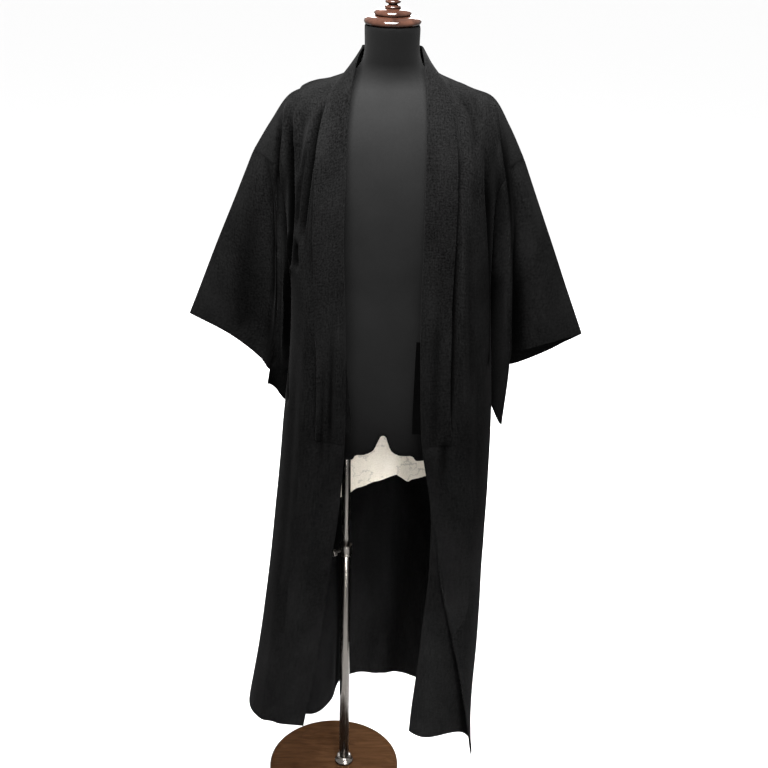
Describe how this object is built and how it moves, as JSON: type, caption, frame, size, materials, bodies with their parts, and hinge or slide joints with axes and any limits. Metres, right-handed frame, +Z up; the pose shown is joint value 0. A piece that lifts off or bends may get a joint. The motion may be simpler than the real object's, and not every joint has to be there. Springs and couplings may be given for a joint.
{
  "type": "yukata on dress form",
  "caption": "Black yukata worn open without a belt on a limbless dress form with a wooden neck cap, standing on a chrome pole and a round wooden base.",
  "frame": {"origin": "middle of the base's flat underside", "axes": "+Z up along the pole; the garment's open front faces -Y; +X to the wearer's left side"},
  "size_m": [0.7808, 0.3121, 1.7694],
  "materials": {
    "yukata_cloth": "matt, fine plain weave",
    "lining_cloth": "matt, fine plain weave",
    "form_jersey": "matt jersey",
    "pole_chrome": "polished",
    "cap_wood": "gloss varnish",
    "base_wood": "satin varnish"
  },
  "bodies": {
    "root": {"body_left": "yukata_cloth", "body_right": "yukata_cloth", "overlap_left": "yukata_cloth", "overlap_right": "yukata_cloth", "collar": "yukata_cloth", "collar_inside_left": "yukata_cloth", "collar_inside_right": "yukata_cloth", "sleeve_left": "yukata_cloth", "sleeve_right": "yukata_cloth", "seat_lining": "lining_cloth", "form_torso": "form_jersey", "neck_cap": "cap_wood", "cap_disc": "cap_wood", "finial": "cap_wood", "pole_upper": "pole_chrome", "pole_lower": "pole_chrome", "pole_clamp": "pole_chrome", "clamp_screw": "pole_chrome", "base_socket": "pole_chrome", "base_disc": "base_wood"}
  },
  "joints": []
}
